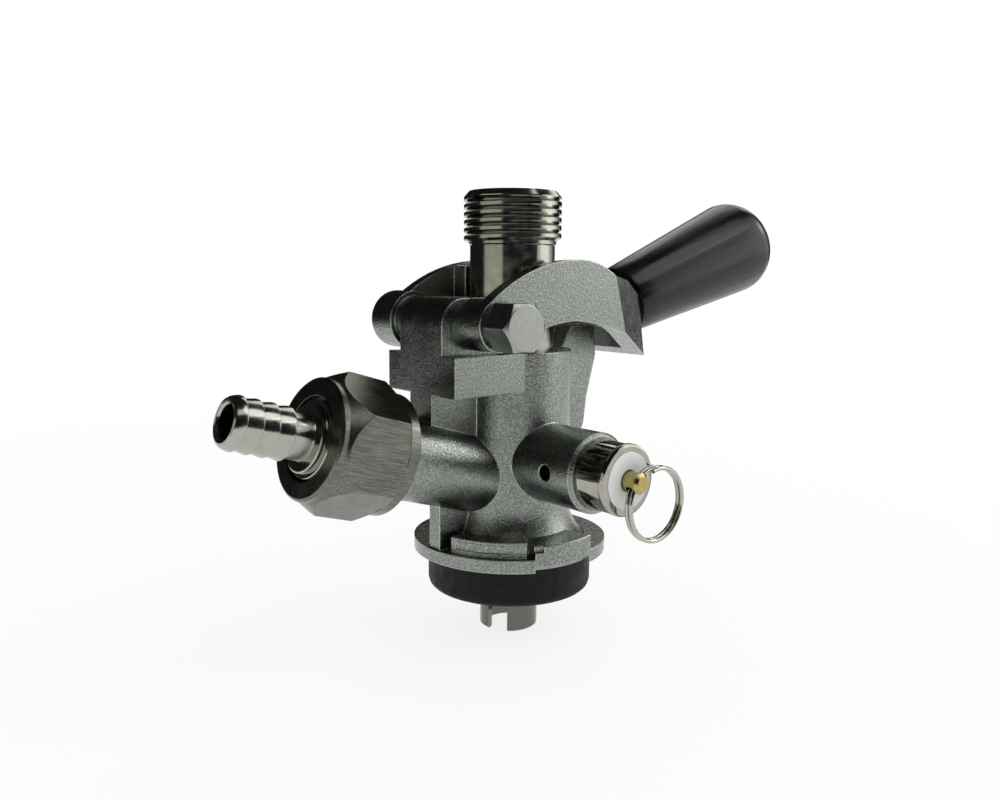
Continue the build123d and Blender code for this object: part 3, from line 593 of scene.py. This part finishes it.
class MakeInnerParts(bpy.types.Operator):
    """Finishes the rings, ball and retainer inside the probe"""
    bl_idname = "coupler.inner_parts"
    bl_label = "Inner parts"

    def execute(self, context):
        rubber = bpy.data.materials["moulded_nitrile_rubber"]
        for name in ("probe_upper_oring", "probe_lower_oring", "probe_tip_seal"):
            dress(name, rubber)
        dress("check_ball", acetal("acetal_ball", "#dcdcd4", "#efefe8"))
        dress("ball_retainer", acetal("acetal_retainer", "#c9c9bf", "#dcdcd2"))
        return {"FINISHED"}


# ---- Stage ----
def stage_piece(name, shape, material):
    """Object of the stage from a bmesh."""
    mesh = bpy.data.meshes.new(name)
    shape.to_mesh(mesh)
    shape.free()
    mesh.materials.append(material)
    obj = bpy.data.objects.new(name, mesh)
    bpy.context.scene.collection.objects.link(obj)
    return obj


def seen_directly(tree):
    """1 for what the camera sees, also in a mirror or through glass, and 0 for light that falls on things."""
    ray = add(tree, "LightPath")
    seen = add(tree, "Math", {0: ray.outputs["Is Camera Ray"], 1: ray.outputs["Is Glossy Ray"]},
               operation="MAXIMUM")
    return add(tree, "Math", {0: seen.outputs[0], 1: ray.outputs["Is Transmission Ray"]},
               operation="MAXIMUM").outputs[0]


def softbox(name, position, size, power, colour, target=(0, 0, 0.03)):
    """Area lamp that faces the target."""
    lamp = bpy.data.lights.new(name, "AREA")
    lamp.shape = "RECTANGLE"
    lamp.size, lamp.size_y = size
    lamp.energy = power
    lamp.color = colour
    obj = bpy.data.objects.new(name, lamp)
    obj.matrix_world = (Matrix.Translation(position)
                        @ (Vector(target) - Vector(position)).to_track_quat("-Z", "Y").to_matrix().to_4x4())
    obj.visible_camera = False
    bpy.context.scene.collection.objects.link(obj)


class MakeStage(bpy.types.Operator):
    """Sets the floor, dark screens, lamps and camera"""
    bl_idname = "coupler.stage"
    bl_label = "Stage"

    def execute(self, context):
        scene = context.scene
        scene.view_settings.view_transform = "Standard"
        tint = tuple(scene.coupler_finish.backdrop) + (1.0,)
        low = CAD_BOX[0][2] - 0.0002

        paper, tree = finish_named("white_paper")
        grain = add(tree, "TexNoise", {"Vector": in_millimetres(tree), "Scale": 0.02, "Detail": 2.0})
        shade = add(tree, "Mix", {"Factor": grain.outputs["Fac"], "A": tint,
                                  "B": tuple(0.98 * t for t in tint)}, data_type="RGBA")
        matte = add(tree, "BsdfDiffuse", {"Color": shade.outputs["Result"]})
        glow = add(tree, "Emission", {"Color": (1, 1, 1, 1), "Strength": 1.0})
        # The paper's own light covers its shade, less so near the object.
        far = add(tree, "VectorMath", {0: add(tree, "TexCoord").outputs["Object"]}, operation="LENGTH")
        clear = add(tree, "MapRange", {"Value": far.outputs["Value"], "From Min": 0.1, "From Max": 0.45,
                                       "To Min": 0.84, "To Max": 1.0})
        cover = add(tree, "Math", {0: seen_directly(tree), 1: clear.outputs[0]}, operation="MULTIPLY")
        mixed = add(tree, "MixShader", {0: cover.outputs[0], 1: matte.outputs[0], 2: glow.outputs[0]})
        add(tree, "OutputMaterial", {"Surface": mixed.outputs[0]})
        floor = bmesh.new()
        bmesh.ops.create_grid(floor, x_segments=1, y_segments=1, size=3.0)
        bmesh.ops.translate(floor, verts=floor.verts[:], vec=(0, 0, low))
        stage_piece("floor", floor, paper)

        black, tree = finish_named("black_felt")
        felt = add(tree, "TexNoise", {"Vector": in_millimetres(tree), "Scale": 0.01})
        dark = add(tree, "Mix", {"Factor": felt.outputs["Fac"], "A": linear("#1d1e1e"),
                                 "B": linear("#2a2b2b")}, data_type="RGBA")
        cloth = add(tree, "BsdfDiffuse", {"Color": dark.outputs["Result"]})
        add(tree, "OutputMaterial", {"Surface": cloth.outputs[0]})

        # Dark screens and a lid stand round the object, as a studio's flags do, with one gap at the right.
        around, gap_start, gap_end = 1.0, -60, -4
        screens = bmesh.new()
        bmesh.ops.create_cone(screens, cap_ends=True, segments=72, radius1=around, radius2=around, depth=1.1,
                              matrix=Matrix.Translation((0, 0, 0.54)))
        gone = []
        for face in screens.faces:
            centre = face.calc_center_median()
            azimuth = degrees(atan2(centre.y, centre.x))
            if len(face.verts) > 4:
                if centre.z < 0.5:
                    gone.append(face)
            elif gap_start <= azimuth <= gap_end:
                gone.append(face)
        bmesh.ops.delete(screens, geom=gone, context="FACES")
        screens = stage_piece("screens", screens, black)
        screens.visible_camera = False
        screens.visible_diffuse = False

        # A dark card stands on the floor at the left, close in, and darkens what faces it.
        card = bmesh.new()
        bmesh.ops.create_grid(card, x_segments=1, y_segments=1, size=1.0)
        stood = Matrix.Rotation(radians(122), 4, "Z") @ Matrix.Rotation(pi / 2, 4, "Y")
        bmesh.ops.transform(card, verts=card.verts[:], matrix=Matrix.Translation(
            (-0.16, 0.26, 0.1)) @ stood @ Matrix.Diagonal((0.12, 0.14, 1, 1)))
        card = stage_piece("card", card, black)
        card.visible_camera = False
        card.visible_diffuse = False
        card.visible_shadow = False

        world = bpy.data.worlds.new("studio")
        world.use_nodes = True
        tree = world.node_tree
        tree.nodes.clear()
        white = add(tree, "Background", {"Color": (1, 1, 1, 1), "Strength": 1.0})
        soft = add(tree, "Background", {"Color": linear("#f2f4f5"), "Strength": 0.8})
        mixed = add(tree, "MixShader", {0: seen_directly(tree), 1: soft.outputs[0], 2: white.outputs[0]})
        add(tree, "OutputWorld", {"Surface": mixed.outputs[0]})
        world.cycles.sampling_method = "NONE"
        scene.world = world

        softbox("right_softbox", (0.66, -0.44, 0.24), (0.5, 0.42), 0.55, (1.0, 0.99, 0.97))
        softbox("key_softbox", (0.72, -0.27, 0.48), (0.24, 0.2), 0.8, (1.0, 1.0, 0.99))
        softbox("left_softbox", (-0.78, 0.05, 0.1), (0.8, 0.42), 0.62, (0.97, 1.0, 0.84))
        softbox("top_softbox", (0.3, -0.4, 0.78), (0.5, 0.42), 1.2, (1.0, 1.0, 1.0))
        softbox("back_softbox", (0.64, 0.42, 0.62), (0.6, 0.5), 1.3, (1.0, 0.98, 0.94))
        softbox("front_softbox", (-0.17, -0.43, 0.72), (0.5, 0.3), 0.45, (1.0, 1.0, 0.97))

        camera = bpy.data.cameras.new("camera")
        camera.sensor_width = 36.0
        camera.lens = 32.184
        camera.clip_start = 0.01
        place_mm = Vector((-139.3, -161.7, 65.8))
        azimuth, pitch, roll = radians(-40.05), radians(8.05), radians(0.56)
        forward = Vector((-sin(azimuth) * cos(pitch), cos(azimuth) * cos(pitch), -sin(pitch)))
        right = Vector((cos(azimuth), sin(azimuth), 0))
        up = right.cross(forward)
        level_right = right * cos(roll) + up * sin(roll)
        level_up = up * cos(roll) - right * sin(roll)
        view = Matrix((level_right, level_up, -forward)).transposed().to_4x4()
        obj = bpy.data.objects.new("camera", camera)
        obj.matrix_world = Matrix.Translation(place_mm * MM) @ view
        scene.collection.objects.link(obj)
        scene.camera = obj
        return {"FINISHED"}


class CouplerPanel(bpy.types.Panel):
    """Lists the coupler's pieces"""
    bl_idname = "VIEW3D_PT_coupler"
    bl_label = "Keg Coupler"
    bl_space_type = "VIEW_3D"
    bl_region_type = "UI"
    bl_category = "Keg Coupler"

    def draw(self, context):
        for group in (context.scene.coupler_sizes, context.scene.coupler_finish):
            for name in group.__annotations__:
                self.layout.prop(group, name)
        for maker in OPERATORS:
            self.layout.operator(maker.bl_idname)


OPERATORS = (MakeStage, MakeCasting, MakeSeal, MakeProbe, MakeInlet, MakeReliefValve, MakePullRing, MakeHinge,
             MakeGrip, MakeInnerParts)
CLASSES = (CouplerSizes, CouplerFinish) + OPERATORS + (CouplerPanel,)


def register():
    for item in CLASSES:
        bpy.utils.register_class(item)
    bpy.types.Scene.coupler_sizes = PointerProperty(type=CouplerSizes)
    bpy.types.Scene.coupler_finish = PointerProperty(type=CouplerFinish)


def unregister():
    del bpy.types.Scene.coupler_finish
    del bpy.types.Scene.coupler_sizes
    for item in reversed(CLASSES):
        bpy.utils.unregister_class(item)


def main():
    register()
    for maker in OPERATORS:
        group, name = maker.bl_idname.split(".")
        getattr(getattr(bpy.ops, group), name)()


if __name__ == "__main__":
    main()
